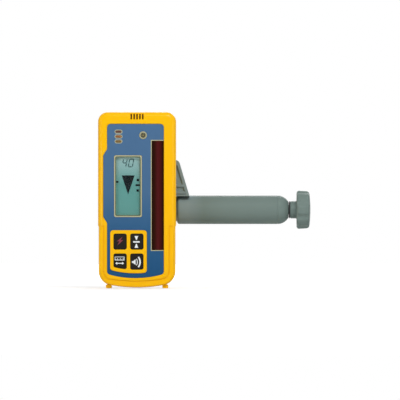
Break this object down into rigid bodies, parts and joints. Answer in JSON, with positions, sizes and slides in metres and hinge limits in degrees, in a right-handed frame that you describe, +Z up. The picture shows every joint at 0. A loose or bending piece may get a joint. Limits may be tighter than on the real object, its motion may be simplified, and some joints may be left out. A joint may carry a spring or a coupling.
{
  "type": "laser receiver with rod clamp",
  "caption": "Handheld rotating-laser receiver with display, photocell window and keypad, on a screw clamp that grips a grade rod beside it.",
  "frame": {"origin": "middle of the jaw opening at rest, on the flat rod seat of the clamp barrel, level with the on-grade line", "axes": "+X to the right across the display and along the clamp barrel towards its knob, +Y from the display to the back, +Z up"},
  "size_m": [0.2073, 0.0927, 0.1715],
  "materials": {
    "housing": "satin moulded, safety yellow",
    "panel": "satin printed overlay, steel blue",
    "clear": "clear polished window",
    "display": "grey-green display glass",
    "white_plastic": "white moulded",
    "filter": "dark red filter, polished",
    "high_tint": "tinted red",
    "grade_tint": "tinted orange",
    "low_tint": "tinted amber",
    "smoke_tint": "smoked",
    "keys": "moulded keys, black",
    "seal": "soft black",
    "board": "green solder mask",
    "black_part": "black moulded",
    "flex": "amber flexible circuit",
    "switch": "tinned cover",
    "steel": "bright zinc",
    "cell": "printed can, plain",
    "brass": "turned",
    "clamp": "filled nylon, grey green"
  },
  "bodies": {
    "receiver": {"front_shell": "housing", "rear_shell": "housing", "shell_gasket": "seal", "shell_screws": "steel", "face_overlay": "panel", "lcd_lens": "clear", "lcd_glass": "display", "lcd_carrier": "white_plastic", "zebra_strips": "seal", "photocell_window": "filter", "photodiode_board": "board", "photodiodes": "black_part", "high_lens": "high_tint", "on_grade_lens": "grade_tint", "low_lens": "low_tint", "indicator_leds": "white_plastic", "strobe_ring": "white_plastic", "strobe_lens": "smoke_tint", "strobe_diode": "black_part", "keypad_bezel": "housing", "tact_switches": "switch", "main_board": "board", "board_screws": "steel", "board_link": "flex", "beeper": "black_part", "sound_membrane": "black_part", "battery_cells": "cell", "battery_contacts": "steel", "battery_seal": "seal", "door_pin": "steel", "thread_insert": "brass", "clamp_frame": "clamp", "fixed_jaw_pad": "seal", "barrel_end_cap": "clamp", "spindle_bush": "brass"},
    "power_key": {"power_key": "keys"},
    "deadband_key": {"deadband_key": "keys"},
    "units_key": {"units_key": "keys"},
    "volume_key": {"volume_key": "keys"},
    "battery_door": {"battery_door": "housing"},
    "clamp_screw": {"clamp_spindle": "steel", "spindle_clip": "steel", "thrust_washer": "steel", "clamp_knob": "clamp", "knob_pin": "steel", "neck_seal": "seal"},
    "sliding_jaw": {"sliding_jaw": "clamp", "jaw_nut": "brass", "sliding_jaw_pad": "seal"},
    "captive_clip": {"captive_clip": "steel"},
    "mount_screw": {"mount_screw": "steel", "mount_knob": "clamp"}
  },
  "joints": [
    {"name": "power_key_press", "type": "slide", "parent": "receiver", "child": "power_key", "axis": [0, 1, 0], "range_m": [0, 0.0008], "stiffness_N_per_m": 400},
    {"name": "deadband_key_press", "type": "slide", "parent": "receiver", "child": "deadband_key", "axis": [0, 1, 0], "range_m": [0, 0.0008], "stiffness_N_per_m": 400},
    {"name": "units_key_press", "type": "slide", "parent": "receiver", "child": "units_key", "axis": [0, 1, 0], "range_m": [0, 0.0008], "stiffness_N_per_m": 400},
    {"name": "volume_key_press", "type": "slide", "parent": "receiver", "child": "volume_key", "axis": [0, 1, 0], "range_m": [0, 0.0008], "stiffness_N_per_m": 400},
    {"name": "door_hinge", "type": "hinge", "parent": "receiver", "child": "battery_door", "pos_m": [-0.0761, -0.0245, -0.0404], "axis": [1, 0, 0], "range_deg": [0, 90]},
    {"name": "clamp_turn", "type": "hinge", "parent": "receiver", "child": "clamp_screw", "pos_m": [0.0789, -0.008, -0.014], "axis": [1, 0, 0], "range_deg": [-3240, 1206]},
    {"name": "jaw_slide", "type": "slide", "parent": "receiver", "child": "sliding_jaw", "axis": [1, 0, 0], "range_m": [-0.0361, 0.0135]},
    {"name": "captive_slide", "type": "slide", "parent": "receiver", "child": "captive_clip", "axis": [0, 1, 0], "range_m": [0, 0.0076]},
    {"name": "mount_turn", "type": "hinge", "parent": "captive_clip", "child": "mount_screw", "pos_m": [-0.0761, -0.0041, 0.0046], "axis": [0, 1, 0], "range_deg": [0, 2160]}
  ],
  "couplings": [
    {"joint": "jaw_slide", "follows": "clamp_turn", "m_per_rad": 0.00063662},
    {"joint": "captive_slide", "follows": "mount_turn", "m_per_rad": 0.00019894}
  ]
}
